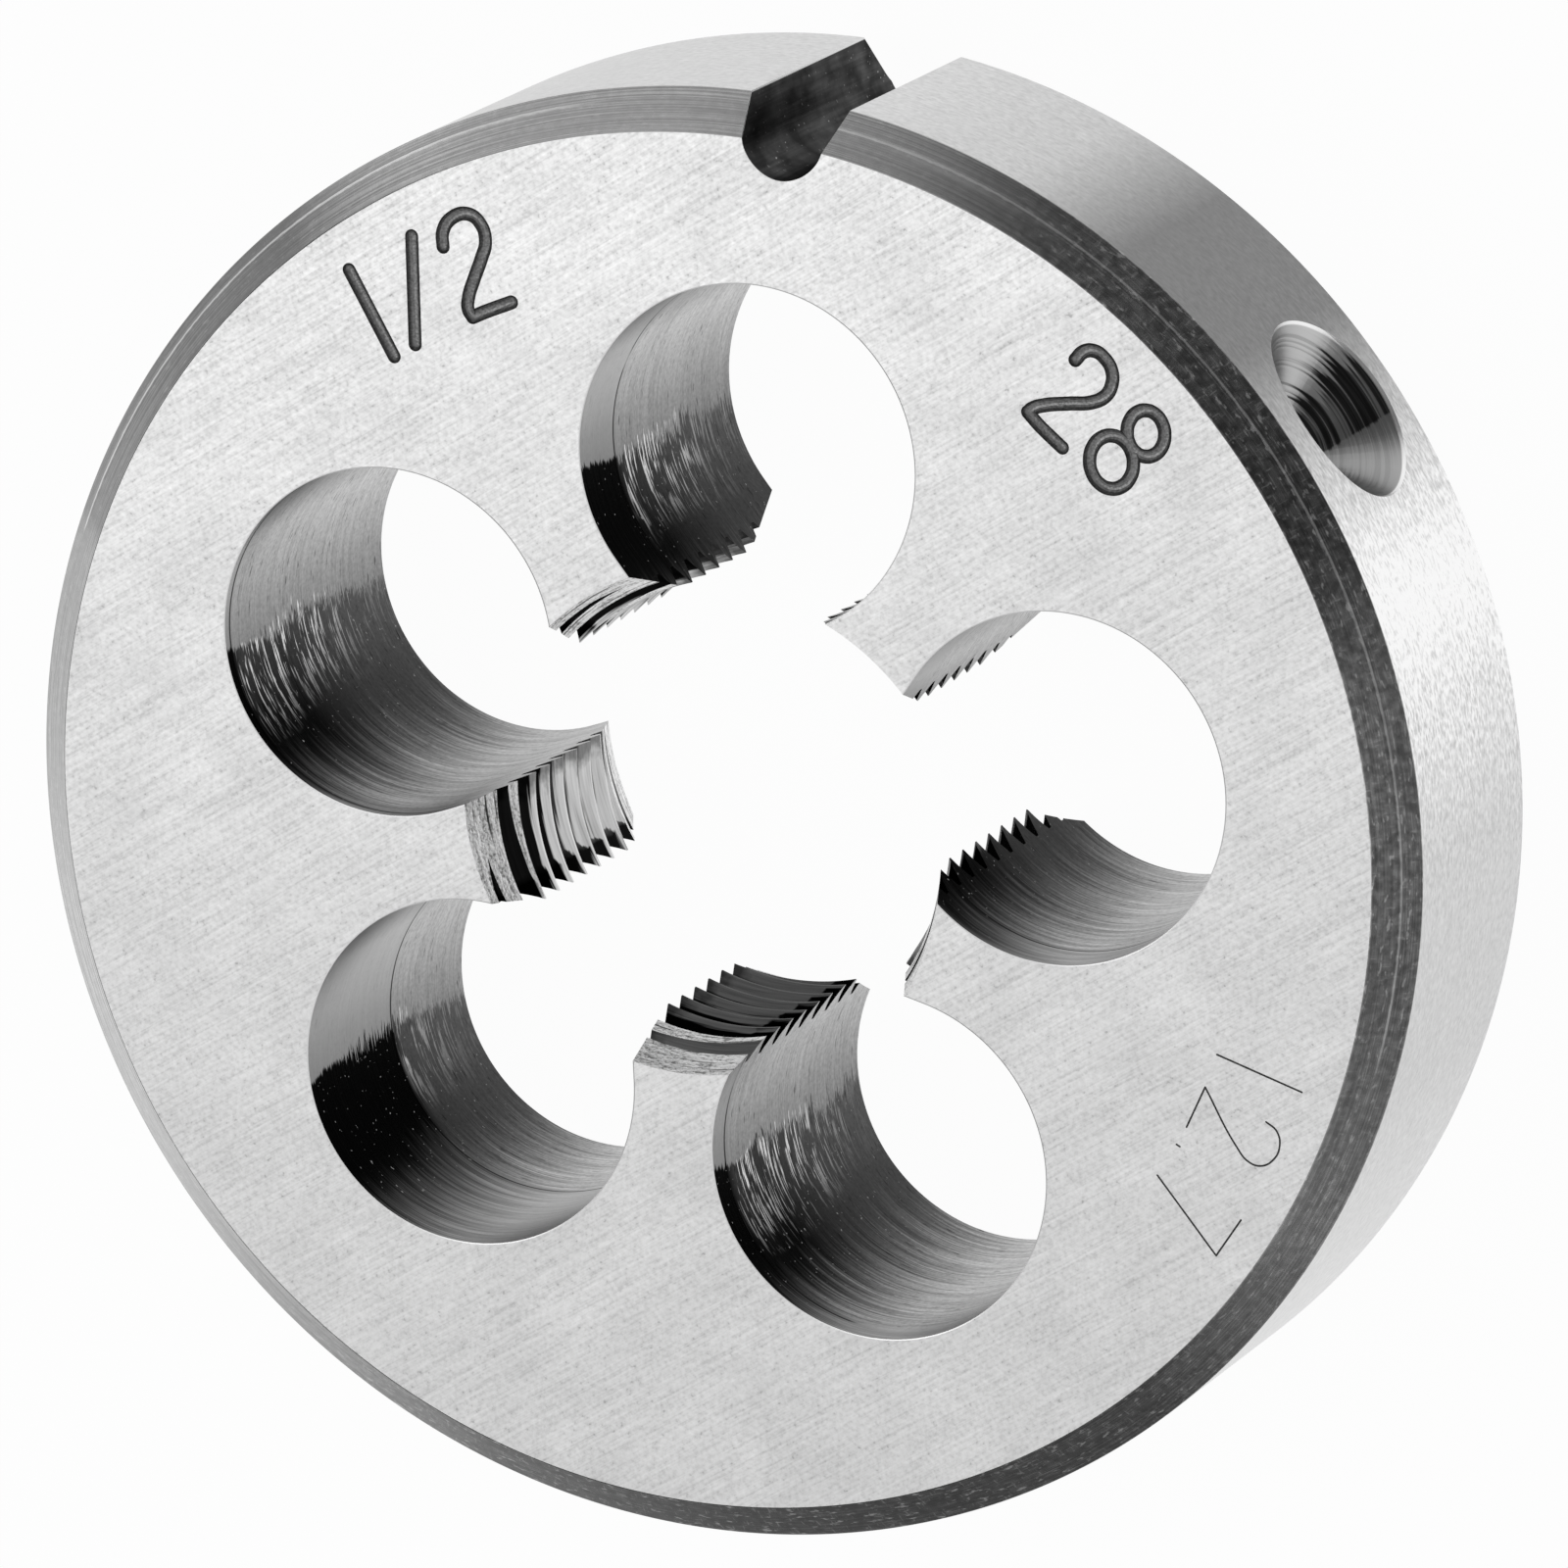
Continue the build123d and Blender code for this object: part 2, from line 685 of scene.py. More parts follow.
@dataclass(frozen=True)
class DrilledWall(Finish):
    """Chip-hole walls: tool marks round each hole, painted reflection, and painted
    shade down one side.

    Angles are round the hole's own axis, from the middle of the painted shade. The
    painted shade is at its blackest in a strip next to the marked face, and strip_ends
    gives the strip's lower end in each hole, as a share of the die's thickness.
    """

    name = "drilled_wall"
    circle_radius: float = HOLE_CIRCLE_RADIUS
    shade_centre: float = 230.0
    shade_start: float = -35.0
    strip_ends: Curve = (
        (-2, 0.92), (-1, 0.85), (0, 0.78), (1, 0.97), (2, 0.47),
    )
    painted_light_tone: Curve = (
        (-110, 0.55), (-75, 0.88), (-60, 0.62), (-45, 0.40), (-32, 0.28),
    )
    shade_tone: Curve = (
        (-36, 0.06), (-20, 0.03), (-8, 0.006), (2, 0.002), (10, 0.016), (20, 0.075),
        (30, 0.21), (40, 0.40), (52, 0.68), (70, 0.85),
    )

    def round_the_hole(self, graph: Graph) -> tuple[Number, Number]:
        """Find which hole a point is in, and where round it.

        Args:
            graph: The graph.

        Returns:
            The hole's number, which is 0 below the notch, and the angle in degrees.
        """
        x, y, _ = graph.axes()
        step, first = math.radians(HOLE_STEP), math.radians(NOTCH_DIRECTION)
        number = graph.sum("ROUND", (graph.sum("ARCTAN2", y, x) - first) / step)
        number = graph.sum("WRAP", number, HOLE_COUNT / 2, -HOLE_COUNT / 2)
        hole = graph.sum("MULTIPLY_ADD", number, step, first)
        reach = self.circle_radius * MM
        dx = x - graph.sum("COSINE", hole) * reach
        dy = y - graph.sum("SINE", hole) * reach
        middle = math.radians(self.shade_centre)
        cosine, sine = math.cos(middle), math.sin(middle)
        along = graph.sum("MULTIPLY_ADD", dx, cosine, dy * sine)
        aside = graph.sum("MULTIPLY_ADD", dy, cosine, dx * -sine)
        return number, graph.degrees(aside, along)

    def build(self, graph: Graph) -> Material:
        """Write the node graph.

        Args:
            graph: The graph, still empty.

        Returns:
            The material.
        """
        height = graph.axes()[2]
        number, angle = self.round_the_hole(graph)
        fine = graph.noise((2.2, 2.2, 0.05), detail=2)
        broad = graph.noise((4.5, 4.5, 0.22), detail=2, shift=6)
        dash = graph.noise((1.1, 1.1, 0.085), detail=2, shift=3)
        nick = graph.noise((0.5, 0.5, 0.06), detail=1, shift=18)
        speck = graph.noise((0.1, 0.1, 0.1), detail=2, shift=1)
        fleck = graph.noise((0.12, 0.12, 0.10), detail=1, shift=21)
        patch = graph.noise((1.2, 1.2, 0.5), detail=3, shift=9)
        drift = graph.noise((5, 5, 5), detail=2, shift=12)
        marks = graph.mix(0.45, fine, broad)

        # Painted reflection, by angle, as far as the ragged line where the painted
        # shade starts, then the painted shade, lighter towards the plain face.
        start = self.shade_start
        shade_begins = (start, 0.0)
        wobble = graph.sum(
            "MULTIPLY_ADD",
            (dash - 0.5) * 26.0,
            height.ramp((6.8, 1.0), (8.0, 0.25), unit=MM),
            angle.wander(drift, 22.0),
        )
        lift = height.ramp((0.0, 0.07), (3.5, 0.045), (6.8, 0.0), unit=MM)
        scale = angle.wander(marks, 45.0).ramp(*self.shade_tone) + lift
        in_shade = wobble.ramp(shade_begins, (start + 1, 1.0))
        grey = graph.mix(in_shade, angle.ramp(*self.painted_light_tone), scale)

        # Painted glints: bright dashes in the painted shade, below the black strip.
        end = number.ramp(*self.strip_ends) * (MARKED_FACE * MM)
        below = ((end - height) * 2500.0).held()
        lines = dash.ramp((0.53, 0.0), (0.58, 1.0))
        glint_near = wobble.ramp(shade_begins, (start + 1, 1.0), (-22, 0.8), (-10, 0.3), (0, 0.0))
        spots = patch.ramp((0.40, 0.0), (0.48, 1.0))
        upper = height.ramp((1, 0.1), (3, 0.35), (5, 1.0), unit=MM)
        grey = graph.mix(lines * glint_near * spots * upper * below, grey, 0.92)
        black = (1.0 - below).held()
        strip = wobble.ramp(shade_begins, (start + 1, 1.0), (-4, 1.0), (10, 0.0))
        grey = graph.mix(black * strip, grey, 0.001)

        # Tool marks, nicks and specks, and a broken dark line at the strip's end.
        shade = marks.ramp((0.36, 0.84), (0.5, 1.0), (0.64, 1.14))
        nicks = nick.ramp((0.27, 0.35), (0.33, 1.0))
        specks = speck.ramp((0.3, 0.85), (0.5, 1.0), (0.7, 1.12))
        shade = graph.mix(black * 0.7, shade * nicks * specks, 1.0)
        line = abs(height - end).ramp((0.02, 0.0), (0.06, 1.0), unit=MM)
        broken = drift.ramp((0.42, 1.0), (0.46, 0.0))
        grey = (grey * (shade * graph.most(line, broken, 0.12))).held()

        # Light flecks on the painted shade, and a painted highlight along the edge at
        # the marked face.
        flecks = fleck.ramp((0.735, 0.0), (0.765, 1.0))
        on_shade = wobble.ramp(shade_begins, (start + 2, 0.8), (10, 0.6), (40, 0.0))
        grey = graph.mix(flecks * on_shade, grey, 0.4)
        mouth = height.ramp((9.985, 0.0), (9.992, 1.0), unit=MM)
        return graph.steel(graph.mix(mouth, grey, 0.8), 0.34, marks, 0.008, edge=0.5)


@dataclass(frozen=True)
class TornLead(Finish):
    """Lead cones: rough bands where the cutter has torn the first threads' tops off."""

    name = "torn_lead"
    grey: float = 0.88

    def build(self, graph: Graph) -> Material:
        """Write the node graph.

        Args:
            graph: The graph, still empty.

        Returns:
            The material.
        """
        torn = graph.noise((0.5, 0.5, 0.12), detail=4)
        speck = graph.noise((0.09, 0.09, 0.09), detail=3, shift=2)
        cuts = graph.noise((2.5, 2.5, 0.10), detail=2, shift=6)
        relief = graph.mix(0.5, torn, speck)
        shade = relief.ramp((0.38, 0.35), (0.47, 0.9), (0.6, 1.15))
        dark = cuts.ramp((0.34, 0.1), (0.40, 1.0))
        grey = (shade * dark * self.grey).held()
        return graph.steel(grey, 0.38, relief, 0.03)


@dataclass(frozen=True)
class CutThread(Finish):
    """Thread flanks: a painted highlight below each crest, and painted shade, black
    down in the grooves.

    Toward the plain face the highlight widens, and at each land's cutting edge it
    ends. The land across from the notch has painted shade.
    """

    name = "cut_thread"
    grey: float = 0.80
    crest_radius: float = 5.90
    depth: float = 0.52
    lit_share: Curve = (
        (0.0, 0.5), (3.0, 0.48), (4.5, 0.42), (6.0, 0.3), (7.5, 0.17),
    )
    groove_shade: Curve = ((0.0, 0.3), (4.5, 0.2), (6.0, 0.03), (6.5, 0.01))
    shaded_land: Curve = ((-4.0, 1.0), (-3.2, 0.17), (3.2, 0.17), (4.0, 1.0))

    def build(self, graph: Graph) -> Material:
        """Write the node graph.

        Args:
            graph: The graph, still empty.

        Returns:
            The material.
        """
        x, y, z = graph.axes()
        drag = graph.noise((2.0, 2.0, 0.04), detail=2)
        blot = graph.noise((0.6, 0.6, 0.25), detail=3, shift=4)
        half = HOLE_STEP / 2
        turn = graph.degrees(y, x) - (NOTCH_DIRECTION + half)
        turn = graph.sum("WRAP", turn, half, -half)
        ragged = turn.wander(blot, 4.0)
        down = (graph.length(x, y) - self.crest_radius * MM) / (self.depth * MM)

        # How far down each flank the painted light reaches, and where it stops along
        # the land, then the painted shade of the groove floors.
        ends = ragged.ramp((9.5, 1.0), (11.5, 0.05))
        lit = z.ramp(*self.lit_share, unit=MM) * ends
        lip = (lit.wander(drag, 0.5) - down).ramp((-0.05, 0.0), (0.05, 1.0))
        ends = ragged.ramp((9.5, 1.0), (11.5, 0.06))
        floor = z.ramp(*self.groove_shade, unit=MM) * ends

        # Painted shade on the land across from the notch, lighter in its first groove,
        # and darker towards one end of each land.
        front = y.ramp((0.0, 0.0), (1.0, 1.0), unit=MM)
        land_shade = graph.most(x.ramp(*self.shaded_land, unit=MM), front)
        top_groove_light = z.ramp((8.0, 0.0), (8.7, 1.3), unit=MM) * (1.0 - land_shade)
        bright = graph.mix(lip, graph.most(floor, top_groove_light), 1.0)
        shade = drag.ramp((0.3, 0.75), (0.5, 1.0), (0.7, 1.2))
        heel = graph.sum("MULTIPLY_ADD", blot, -14.0, turn)
        darkening = heel.ramp((-19, 0.35), (-15, 1.0)) * land_shade
        grey = (shade * darkening * bright * self.grey).held()
        return graph.steel(grey, 0.30, graph.mix(0.5, drag, blot), 0.012, edge=0.5)


@dataclass(frozen=True)
class MilledNotch(Finish):
    """Adjusting notch: milled before hardening and left dark, with painted highlights
    along its edges.
    """

    name = "milled_notch"
    grey: float = 0.06

    def build(self, graph: Graph) -> Material:
        """Write the node graph.

        Args:
            graph: The graph, still empty.

        Returns:
            The material.
        """
        streak = graph.noise((0.12, 0.12, 3.0), detail=3)
        cloud = graph.noise((0.9, 0.9, 0.9), detail=3, shift=6)
        speck = graph.noise((0.09, 0.09, 0.09), detail=0, shift=3)
        shade = streak.ramp((0.3, 0.75), (0.5, 1.0), (0.7, 1.4))
        tone = cloud.ramp((0.35, 0.5), (0.65, 1.5))
        sparks = speck.ramp((0.78, 0.0), (0.85, 0.35))
        grey = (shade * tone * self.grey + sparks).held()
        x, y, z = graph.axes()
        radius = graph.length(x, y)
        # Painted highlights along the edges at the marked face, the chamfer and the
        # rim.
        edge = graph.most(
            z.ramp((9.96, 0.0), (9.98, 1.0), unit=MM),
            (radius + z).ramp((27.92, 0.0), (27.95, 1.0), unit=MM),
            radius.ramp((18.94, 0.0), (18.96, 1.0), unit=MM),
        )
        grey = graph.mix(edge, grey, 0.9)
        return graph.steel(grey, 0.36, graph.mix(0.5, streak, cloud), 0.01, edge=0.5)


@dataclass(frozen=True)
class CountersunkSeat(Finish):
    """Conical screw seats: rings from the drill point, a burnt strip, and painted light
    and shade with a painted highlight ring at the rim.

    Painted light tones and rings go by the distance aside from the seat's middle,
    towards the notch. The burnt strip reaches a distance aside that goes by the height.
    """

    name = "countersunk_seat"
    seat_angle: float = SEAT_FROM_NOTCH
    rim_radius: float = RIM_RADIUS
    painted_light_tone: Curve = (
        (-2.6, 0.34), (-0.8, 0.27), (-0.7, 0.36), (0.6, 0.44), (2.6, 0.44),
    )
    ring_strength: Curve = (
        (-0.85, 0.15), (-0.75, 1.0), (0.8, 1.0), (1.6, 0.3),
    )
    burnt_to: Curve = (
        (-2.0, 1.0 * MM), (0.0, 0.4 * MM), (1.0, -0.4 * MM), (1.8, -2.2 * MM),
    )

    def build(self, graph: Graph) -> Material:
        """Write the node graph.

        Args:
            graph: The graph, still empty.

        Returns:
            The material.
        """
        x, y, z = graph.axes()
        from_notch = abs(graph.sum("ARCTAN2", y, x) - math.radians(NOTCH_DIRECTION))
        aside = math.radians(self.seat_angle) - from_notch
        aside = aside * (self.rim_radius * MM)
        rise = z - MARKED_FACE / 2 * MM
        along = graph.sum("ARCTAN2", rise, aside) * (0.4 * MM)
        where = graph.vector(graph.length(aside, rise), along, 0.0)
        rings = graph.noise((0.08, 1.6, 1), detail=2, where=where)

        # The burnt strip: its lower edge is clean, and its upper one follows the rings.
        past = aside.wander(rings, 3.0 * MM) - rise.ramp(*self.burnt_to, unit=MM)
        burnt = past.ramp((-0.15, 1.0), (0.15, 0.0), unit=MM)
        burnt = burnt * aside.ramp((-0.80, 0.0), (-0.74, 1.0), unit=MM)

        # Painted light and shade: lighter aside towards the notch and towards the plain
        # face.
        lit_grey = aside.ramp(*self.painted_light_tone, unit=MM)
        lit_grey = lit_grey * rise.ramp((-1.8, 1.3), (0.0, 1.0), (1.2, 0.8), unit=MM)
        arcs = rings.ramp((0.40, 0.12), (0.46, 1.0), (0.6, 1.1))
        lit_grey = lit_grey * graph.mix(aside.ramp(*self.ring_strength, unit=MM), 1.0, arcs)
        scale = rings.ramp((0.4, 0.03), (0.54, 0.07), (0.62, 0.3))
        grey = graph.mix(burnt, lit_grey, scale)
        # A painted highlight ring along the seat's edge at the rim.
        rim = graph.length(x, y).ramp((18.91, 0.0), (18.94, 1.0), unit=MM)
        return graph.steel(graph.mix(rim, grey, 0.98), 0.3, rings, 0.01, edge=0.7)


@dataclass(frozen=True)
class EngravedGroove(Finish):
    """Round-bottomed grooves of the size numbers."""

    name = "engraved_groove"
    grey: float = 0.18

    def build(self, graph: Graph) -> Material:
        """Write the node graph.

        Args:
            graph: The graph, still empty.

        Returns:
            The material.
        """
        speck = graph.noise((0.06, 0.06, 0.06), detail=2)
        grey = speck.ramp((0.3, self.grey * 0.7), (0.7, self.grey * 1.4))
        return graph.steel(grey, 0.34, speck, 0.008, edge=0.6)


@dataclass(frozen=True)
class EtchedLine(Finish):
    """Thin etched figures."""

    name = "etched_line"
    grey: float = 0.065

    def build(self, graph: Graph) -> Material:
        """Write the node graph.

        Args:
            graph: The graph, still empty.

        Returns:
            The material.
        """
        speck = graph.noise((0.05, 0.05, 0.05), detail=2)
        grey = speck.ramp((0.3, self.grey * 0.7), (0.7, self.grey * 1.5))
        return graph.steel(grey, 0.5, speck, 0.005)


# ---------------------------------------------------------------- the die


@dataclass
class DieBlank:
    """Disc that everything is cut from, with a chamfer at each edge."""

    radius: float = RIM_RADIUS
    chamfers: dict[Side, float] = field(
        default_factory=lambda: {Side.MARKED: 1.0, Side.PLAIN: 1.35}
    )
    edge_break: float = 0.012
    segments: int = 480
    flat_above: float = 0.95
    upright_below: float = 0.3

    def half_profile(self, side: Side) -> list[Point]:
        """Rings from one face out to the rim.

        Args:
            side: The face.

        Returns:
            (radius, height) of each ring in millimetres.
        """
        width, small = self.chamfers[side], self.edge_break
        inner = self.radius - width
        insets = [
            (inner - small, 0.0),
            (inner + small, small),
            (self.radius - small, width - small),
            (self.radius, width + small),
        ]
        return [(radius, side.height - side.value * depth) for radius, depth in insets]

    def build(self) -> Object:
        """Turn the disc and dress its faces, chamfers and rim by the way they look.

        Returns:
            The disc.
        """
        profile = self.half_profile(Side.PLAIN) + self.half_profile(Side.MARKED)[::-1]
        disc = lathe("die", profile, self.segments)
        flat, upright = self.flat_above, self.upright_below
        dress(disc, SurfaceGround(), lambda face: abs(face.normal.z) > flat)
        dress(disc, TurnedChamfer(), lambda face: upright < abs(face.normal.z) <= flat)
        dress(disc, GroundRim(), lambda face: abs(face.normal.z) <= upright)
        return disc


@dataclass
class ChipHoles:
    """Five drilled holes that break into the thread.

    Each hole's wall is straight at the heel of the next land, from where it passes
    heel_radius.
    """

    radius: float = 4.575
    circle_radius: float = HOLE_CIRCLE_RADIUS
    heel_radius: float = 7.209
    flank_length: float = 2.7
    edge_break: float = 0.03
    edge_rise: float = 0.01
    segments: int = 160

    def heel_direction(self) -> float:
        """Find where a hole's flank starts.

        Returns:
            Its direction from the hole's centre, in degrees.
        """
        reach = (self.heel_radius**2 + self.circle_radius**2 - self.radius**2) / (
            2 * self.heel_radius * self.circle_radius
        )
        aside = self.heel_radius * math.sin(math.acos(reach))
        heel = Vector((self.heel_radius * reach, aside))
        return math.degrees(math.atan2(heel.y, heel.x - self.circle_radius))

    def cutter(self) -> Object:
        """Drill for the hole on +X.

        The ring is made round its own centre with the heel on +X. The part of the ring
        past the heel is pressed flat there, and the ring then grows through the die,
        flaring a little where it leaves each face.

        Returns:
            The drill, in its place.
        """
        bpy.ops.mesh.primitive_circle_add(
            vertices=self.segments, radius=self.radius * MM, fill_type="NGON"
        )
        drill = named("chip_hole_drill")
        sweep = math.degrees(math.asin(self.flank_length / self.radius)) + SLACK
        select_points(
            drill,
            lambda point: 0 < math.degrees(math.atan2(point.y, point.x)) <= sweep,
        )
        bpy.ops.transform.resize(
            value=(0, 1, 1), center_override=(self.radius * MM, 0, 0)
        )
        bpy.ops.mesh.select_all(action="SELECT")
        rise = self.edge_rise
        flare = 1 + (OVERRUN + rise) * self.edge_break / rise / self.radius
        bpy.ops.transform.resize(value=(flare, flare, 1), center_override=(0, 0, 0))
        bpy.ops.transform.translate(value=(0, 0, -OVERRUN * MM))
        step_out(OVERRUN + rise, 1 / flare)
        step_out(MARKED_FACE - 2 * rise, 1.0)
        step_out(OVERRUN + rise, flare)
        bpy.ops.object.mode_set(mode="OBJECT")
        close_up(drill)
        drill.rotation_euler.z = math.radians(self.heel_direction())
        drill.location.x = self.circle_radius * MM
        dress(drill, DrilledWall())
        return settle(drill)

    def cut(self, die: Object) -> None:
        """Drill the five holes."""
        holes = [NOTCH_DIRECTION + index * HOLE_STEP for index in range(HOLE_COUNT)]
        cut_round(die, self.cutter(), holes)


@dataclass
class LeadCones:
    """Lead at each end of the thread, relieved behind each land's cutting edge."""

    mouth_radii: dict[Side, float] = field(
        default_factory=lambda: {Side.MARKED: 6.62, Side.PLAIN: 6.82}
    )
    lengths: dict[Side, float] = field(
        default_factory=lambda: {Side.MARKED: 2.1, Side.PLAIN: 2.8}
    )
    crest_radius: float = CREST_RADIUS
    relief: float = 0.5
    segments: int = 256

    def cutter(self, side: Side) -> Object:
        """Cone that relieves the land on +X: its axis is set over, towards the heel.

        Args:
            side: The face that the cone opens at.

        Returns:
            The cone, trimmed to the land's own sector.
        """
        mouth, length = self.mouth_radii[side], self.lengths[side]
        slope = (mouth - self.crest_radius) / length
        profile = [
            (self.crest_radius - slope, side.height - side.value * (length + 1)),
            (mouth + slope * OVERRUN, side.height + side.value * OVERRUN),
        ][:: side.value]
        cone = lathe("lead_cone", profile, self.segments, (0.0, -self.relief))
        bpy.ops.object.mode_set(mode="EDIT")
        for turn in (-1, 1):
            edge = math.radians(turn * HOLE_STEP / 2)
            bpy.ops.mesh.select_all(action="SELECT")
            bpy.ops.mesh.bisect(
                plane_co=(0, 0, 0),
                plane_no=(-turn * math.sin(edge), turn * math.cos(edge), 0),
                use_fill=True,
                clear_outer=True,
            )
        bpy.ops.object.mode_set(mode="OBJECT")
        close_up(cone)
        dress(cone, TornLead())
        return cone

    def cut(self, die: Object) -> None:
        """Relieve every land at both faces.

        Args:
            die: The die.
        """
        first = NOTCH_DIRECTION + HOLE_STEP / 2
        lands = [first + index * HOLE_STEP for index in range(HOLE_COUNT)]
        for side in Side:
            cut_round(die, self.cutter(side), lands)


@dataclass
class Thread:
    """Right-hand thread through the five lands.

    The groove is root_flat wide at its bottom. Its foot is the wide end, which stands
    foot_inset inside the crests and reaches foot_share of the pitch to either side.
    """

    pitch: float = 25.4 / 28
    crest_radius: float = CREST_RADIUS
    root_radius: float = 6.42
    root_flat: float = 0.16
    foot_inset: float = 0.06
    foot_share: float = 0.493
    crest_height_on_x: float = 5.95
    steps: int = 120
    bore_segments: int = 240

    def bore(self) -> Object:
        """Reamer for the bore at the tips of the teeth.

        Returns:
            The reamer.
        """
        ends = (-OVERRUN, MARKED_FACE + OVERRUN)
        profile = [(self.crest_radius, height) for height in ends]
        bore = lathe("bore", profile, self.bore_segments)
        dress(bore, CutThread())
        return bore

    def groove(self) -> Object:
        """Thread groove, screwed up through the die from below.

        Returns:
            The groove as a closed solid.
        """
        tip, foot = self.root_radius, self.crest_radius - self.foot_inset
        half_tip, half_foot = self.root_flat / 2, self.pitch * self.foot_share
        bpy.ops.mesh.primitive_plane_add(size=1)
        groove = named("thread_groove")
        corners = [
            (tip, -half_tip), (tip, half_tip), (foot, -half_foot), (foot, half_foot),
        ]
        for vertex, (radius, height) in zip(groove.data.vertices, corners):
            vertex.co = Vector((radius, 0, height)) * MM
        bpy.ops.object.mode_set(mode="EDIT")
        bpy.ops.mesh.select_all(action="SELECT")
        bpy.ops.mesh.delete(type="ONLY_FACE")
        bpy.ops.object.mode_set(mode="OBJECT")
        screw = groove.modifiers.new("screw", "SCREW")
        screw.steps = screw.render_steps = self.steps
        screw.iterations = math.ceil(MARKED_FACE / self.pitch) + 2
        screw.screw_offset = self.pitch * MM
        screw.use_merge_vertices = False
        bpy.ops.object.modifier_apply(modifier=screw.name)
        bpy.ops.object.mode_set(mode="EDIT")
        bpy.ops.mesh.select_mode(type="EDGE")
        bpy.ops.mesh.select_all(action="DESELECT")
        bpy.ops.mesh.select_non_manifold()
        bpy.ops.mesh.edge_face_add()
        bpy.ops.object.mode_set(mode="OBJECT")
        close_up(groove)
        start = (self.crest_height_on_x + self.pitch / 2) % self.pitch - 2 * self.pitch
        groove.location.z = start * MM
        dress(groove, CutThread())
        return settle(groove)

    def cut(self, die: Object) -> None:
        """Bore and thread the lands.

        Args:
            die: The die.
        """
        cut_out(die, self.bore())
        LeadCones().cut(die)
        cut_out(die, self.groove())


@dataclass
class AdjustingNotch:
    """Round-bottomed notch across the rim for the stock's adjusting screw."""

    depth: float = 1.95
    bottom_radius: float = 1.1
    bottom_segments: int = 24
    angle: float = 30.0
    rim_radius: float = RIM_RADIUS
    edge_break: float = 0.05
    edge_flare: float = 1.15
    corner_share: float = 0.999

    def cutter(self) -> Object:
        """Milling cutter for a notch on +X.

        Its two corners at the notch's floor are rounded until they all but meet.

        Returns:
            The cutter.
        """
        half = math.radians(self.angle / 2)
        floor = self.rim_radius - self.depth
        corner = self.bottom_radius * (1 - math.sin(half)) / math.cos(half)
        edge = self.rim_radius - self.edge_break
        half_edge = corner + (edge - floor) * math.tan(half)
        out = self.rim_radius + OVERRUN
        half_out = half_edge + (out - edge) * self.edge_flare
        side = [(floor, corner), (edge, half_edge), (out, half_out)]
        outline = [(x, -y) for x, y in side] + side[::-1]
        bpy.ops.mesh.primitive_circle_add(
            vertices=len(outline), radius=MM, fill_type="NGON"
        )
        cutter = named("notch_cutter")
        for vertex, (x, y) in zip(cutter.data.vertices, outline):
            vertex.co = Vector((x, y, -OVERRUN)) * MM
        select_points(cutter, lambda point: point.x < (floor + SLACK) * MM)
        bpy.ops.mesh.bevel(
            offset_type="OFFSET",
            offset=corner * self.corner_share * MM,
            segments=self.bottom_segments,
            affect="VERTICES",
            clamp_overlap=True,
        )
        bpy.ops.mesh.select_all(action="SELECT")
        step_out(MARKED_FACE + 2 * OVERRUN, 1.0, (floor + self.bottom_radius, 0.0))
        bpy.ops.object.mode_set(mode="OBJECT")
        close_up(cutter)
        dress(cutter, MilledNotch())
        return cutter

    def cut(self, die: Object) -> None:
        """Mill the notch."""
        cut_round(die, self.cutter(), [NOTCH_DIRECTION])


@dataclass
class ScrewSeats:
    """Conical seats in the rim for the stock's locking screws."""

    diameter: float = 5.5
    rim_radius: float = RIM_RADIUS
    from_notch: float = SEAT_FROM_NOTCH
    point_radius: float = 0.12
    segments: int = 96

    def cutter(self) -> Object:
        """Countersink for a seat on +X.

        Returns:
            The countersink.
        """
        point, mouth = self.point_radius, self.diameter / 2
        profile = [(point, point), (mouth + OVERRUN, mouth + OVERRUN)]
        sink = lathe("countersink", profile, self.segments)
        sink.rotation_euler = (0, math.radians(90), 0)
        sink.location = Vector((self.rim_radius - mouth, 0, MARKED_FACE / 2)) * MM
        dress(sink, CountersunkSeat())
        return settle(sink)

    def cut(self, die: Object) -> None:
        """Sink both seats."""
        seats = [NOTCH_DIRECTION + turn * self.from_notch for turn in (-1, 1)]
        cut_round(die, self.cutter(), seats)


@dataclass
class Stroke:
    """One pass of the engraving tool, in the figure's plane: across and outwards."""

    points: Sequence[Point]
    smooth: bool = True
    closed: bool = False


